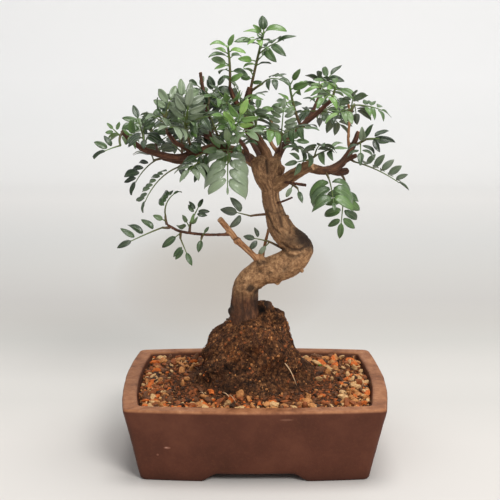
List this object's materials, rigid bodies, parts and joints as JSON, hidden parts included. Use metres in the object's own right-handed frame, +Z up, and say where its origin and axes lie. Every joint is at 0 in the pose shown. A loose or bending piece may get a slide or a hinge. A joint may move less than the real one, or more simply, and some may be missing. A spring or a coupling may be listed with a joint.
{
  "type": "pistachio bonsai",
  "caption": "Small pistachio bonsai with an S-curved trunk, fibrous raised root ball and pinnate leaf sprays, growing in grit in a footed rectangular clay pot.",
  "frame": {"origin": "on the ground under the middle of the pot", "axes": "+X to the right of the pot's long front face, +Y towards its back, +Z up"},
  "size_m": [0.2122, 0.1483, 0.3102],
  "materials": {
    "unglazed_clay": "matte, unglazed",
    "screen_plastic": "matte",
    "soil": "matte, loose",
    "grit": "matte, mixed colours",
    "roots": "rough, fibrous",
    "bark": "rough bark",
    "foliage": "slightly glossy leaf"
  },
  "bodies": {
    "root": {"pot": "unglazed_clay", "drain_screen_left": "screen_plastic", "drain_screen_right": "screen_plastic", "soil": "soil", "grit": "grit", "root_ball": "roots", "tree": "bark", "spray_left_tip": "foliage", "spray_left_front": "foliage", "spray_left_back": "foliage", "spray_left_side": "foliage", "spray_left_mid": "foliage", "spray_left_top": "foliage", "spray_left_inner": "foliage", "spray_left_stub": "foliage", "spray_left_hang_tip": "foliage", "spray_left_hang": "foliage", "spray_pale_leaf": "foliage", "spray_left_under": "foliage", "spray_front": "foliage", "spray_apex": "foliage", "spray_left_apex": "foliage", "spray_apex_low": "foliage", "spray_apex_arch": "foliage", "spray_right_apex": "foliage", "spray_right_top": "foliage", "spray_right_top_low": "foliage", "spray_right_twig_leaves": "foliage", "spray_right_cluster": "foliage", "spray_right_long": "foliage", "spray_right_hang": "foliage", "spray_right_hang_back": "foliage", "spray_right_over": "foliage", "spray_right_under": "foliage", "spray_centre": "foliage", "spray_centre_up": "foliage", "spray_low_tip": "foliage", "spray_low_up": "foliage", "spray_low_mid": "foliage", "spray_low_hang": "foliage", "spray_low_near": "foliage", "spray_low_cross": "foliage", "spray_low_back": "foliage", "spray_back": "foliage", "spray_back_low": "foliage", "spray_back_right": "foliage", "spray_back_right_low": "foliage", "spray_back_left": "foliage", "spray_back_left_low": "foliage"}
  },
  "joints": []
}
